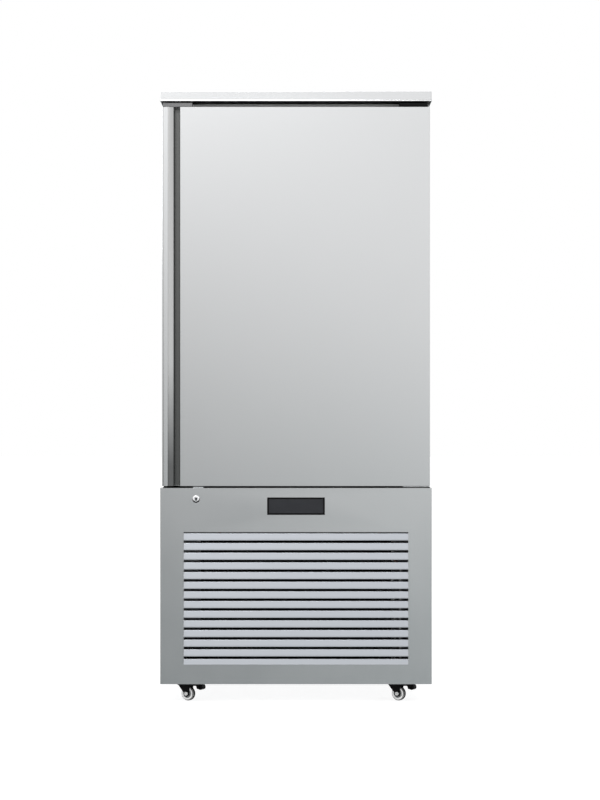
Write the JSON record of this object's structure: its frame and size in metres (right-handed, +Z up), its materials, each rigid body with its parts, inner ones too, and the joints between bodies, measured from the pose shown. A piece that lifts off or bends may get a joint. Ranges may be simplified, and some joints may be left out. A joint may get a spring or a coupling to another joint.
{
  "type": "blast chiller",
  "caption": "Upright commercial blast chiller: one insulated tray chamber with a full door over a louvred machine compartment, on castors.",
  "frame": {"origin": "on the floor, under the middle of the worktop", "axes": "+Z up, -Y towards the user at the door, +X to the right as seen from the front"},
  "size_m": [0.8, 0.815, 1.802],
  "materials": {
    "stainless_outer": "brushed stainless steel, vertical grain",
    "stainless_inner": "smooth satin stainless steel",
    "galvanised": "galvanised sheet",
    "hinge_steel": "satin stainless plate",
    "louvre_aluminium": "satin anodised",
    "coil_aluminium": "bare fins",
    "coil_black": "black coated fins",
    "board_black": "black faced board",
    "foam": "rigid insulating foam",
    "gasket_grey": "soft magnetic gasket",
    "black_plastic": "fine grained",
    "display_glass": "smoked window",
    "lock_chrome": "polished",
    "lock_steel": "dark plug and cam",
    "hinge_black": "satin black",
    "plate_grey": "satin grey",
    "machine_black": "semi gloss black",
    "fan_aluminium": "pressed blades",
    "copper": "bare copper pipe",
    "castor_black": "satin black",
    "castor_wheel": "light grey hub with black tread",
    "pedal_black": "black plastic"
  },
  "bodies": {
    "cabinet": {"worktop": "stainless_outer", "side_panel_left": "stainless_outer", "side_panel_right": "stainless_outer", "rear_panel": "stainless_outer", "front_frame": "stainless_outer", "front_panel": "stainless_outer", "chamber_liner": "stainless_inner", "fan_panel": "stainless_inner", "rack_uprights": "stainless_inner", "tray_runners": "stainless_inner", "floor_drain": "stainless_inner", "fan_guards": "stainless_inner", "rear_grille": "galvanised", "deck_panel": "galvanised", "base_pan": "galvanised", "louvre_frame": "galvanised", "electrical_box": "galvanised", "grille_screws": "galvanised", "bottom_hinge": "hinge_steel", "lock_guide": "hinge_steel", "louvre_slats": "louvre_aluminium", "evaporator_coil": "coil_aluminium", "condenser_coil": "coil_black", "worktop_core": "board_black", "wall_insulation": "foam", "control_bezel": "black_plastic", "cable_gland": "black_plastic", "controller_unit": "black_plastic", "probe_socket": "black_plastic", "condensate_tray": "black_plastic", "control_window": "display_glass", "lock_housing": "lock_chrome", "top_hinge": "hinge_black", "hinge_blank_plate": "plate_grey", "compressor": "machine_black", "condenser_shroud": "machine_black", "evaporator_fan_motors": "machine_black", "condenser_fan_motor": "machine_black", "refrigerant_pipes": "copper", "castor_plates": "castor_black"},
    "door": {"door_skin": "stainless_outer", "door_insulation": "foam", "door_liner": "stainless_inner", "door_gasket": "gasket_grey", "door_handle": "stainless_outer", "hinge_bushes": "black_plastic"},
    "lock": {"lock_cam": "lock_steel"},
    "evaporator_fan_lower": {"evaporator_fan_lower": "fan_aluminium"},
    "evaporator_fan_upper": {"evaporator_fan_upper": "fan_aluminium"},
    "condenser_fan": {"condenser_fan": "fan_aluminium"},
    "fork_fl": {"castor_fork_fl": "castor_black"},
    "wheel_fl": {"castor_wheel_fl": "castor_wheel"},
    "fork_fr": {"castor_fork_fr": "castor_black"},
    "wheel_fr": {"castor_wheel_fr": "castor_wheel"},
    "fork_rl": {"castor_fork_rl": "castor_black"},
    "wheel_rl": {"castor_wheel_rl": "castor_wheel"},
    "fork_rr": {"castor_fork_rr": "castor_black"},
    "wheel_rr": {"castor_wheel_rr": "castor_wheel"},
    "pedal_fl": {"brake_pedal_fl": "pedal_black"},
    "pedal_fr": {"brake_pedal_fr": "pedal_black"}
  },
  "joints": [
    {"name": "door_hinge", "type": "hinge", "parent": "cabinet", "child": "door", "pos_m": [0.372, -0.374, 0.64], "axis": [0, 0, 1], "range_deg": [0, 105]},
    {"name": "lock_turn", "type": "hinge", "parent": "cabinet", "child": "lock", "pos_m": [-0.2946, -0.39, 0.6014], "axis": [0, -1, 0], "range_deg": [0, 90]},
    {"name": "evaporator_fan_lower_spin", "type": "hinge", "parent": "cabinet", "child": "evaporator_fan_lower", "pos_m": [0, 0.165, 0.976], "axis": [0, 1, 0], "continuous": true},
    {"name": "evaporator_fan_upper_spin", "type": "hinge", "parent": "cabinet", "child": "evaporator_fan_upper", "pos_m": [0, 0.165, 1.421], "axis": [0, 1, 0], "continuous": true},
    {"name": "condenser_fan_spin", "type": "hinge", "parent": "cabinet", "child": "condenser_fan", "pos_m": [0, -0.2285, 0.2902], "axis": [0, 1, 0], "continuous": true},
    {"name": "swivel_fl", "type": "hinge", "parent": "cabinet", "child": "fork_fl", "pos_m": [-0.313, -0.337, 0.05], "axis": [0, 0, 1], "continuous": true},
    {"name": "wheel_spin_fl", "type": "hinge", "parent": "fork_fl", "child": "wheel_fl", "pos_m": [-0.32006, -0.33324, 0.021], "axis": [0.4695, 0.8829, 0], "continuous": true},
    {"name": "swivel_fr", "type": "hinge", "parent": "cabinet", "child": "fork_fr", "pos_m": [0.313, -0.337, 0.05], "axis": [0, 0, 1], "continuous": true},
    {"name": "wheel_spin_fr", "type": "hinge", "parent": "fork_fr", "child": "wheel_fr", "pos_m": [0.30594, -0.33324, 0.021], "axis": [0.4695, 0.8829, 0], "continuous": true},
    {"name": "swivel_rl", "type": "hinge", "parent": "cabinet", "child": "fork_rl", "pos_m": [-0.313, 0.337, 0.05], "axis": [0, 0, 1], "continuous": true},
    {"name": "wheel_spin_rl", "type": "hinge", "parent": "fork_rl", "child": "wheel_rl", "pos_m": [-0.32006, 0.34076, 0.021], "axis": [0.4695, 0.8829, 0], "continuous": true},
    {"name": "swivel_rr", "type": "hinge", "parent": "cabinet", "child": "fork_rr", "pos_m": [0.313, 0.337, 0.05], "axis": [0, 0, 1], "continuous": true},
    {"name": "wheel_spin_rr", "type": "hinge", "parent": "fork_rr", "child": "wheel_rr", "pos_m": [0.30594, 0.34076, 0.021], "axis": [0.4695, 0.8829, 0], "continuous": true},
    {"name": "brake_fl", "type": "hinge", "parent": "fork_fl", "child": "pedal_fl", "pos_m": [-0.28475, -0.35202, 0.041], "axis": [0.4695, 0.8829, 0], "range_deg": [0, 14]},
    {"name": "brake_fr", "type": "hinge", "parent": "fork_fr", "child": "pedal_fr", "pos_m": [0.34125, -0.35202, 0.041], "axis": [0.4695, 0.8829, 0], "range_deg": [0, 14]}
  ]
}
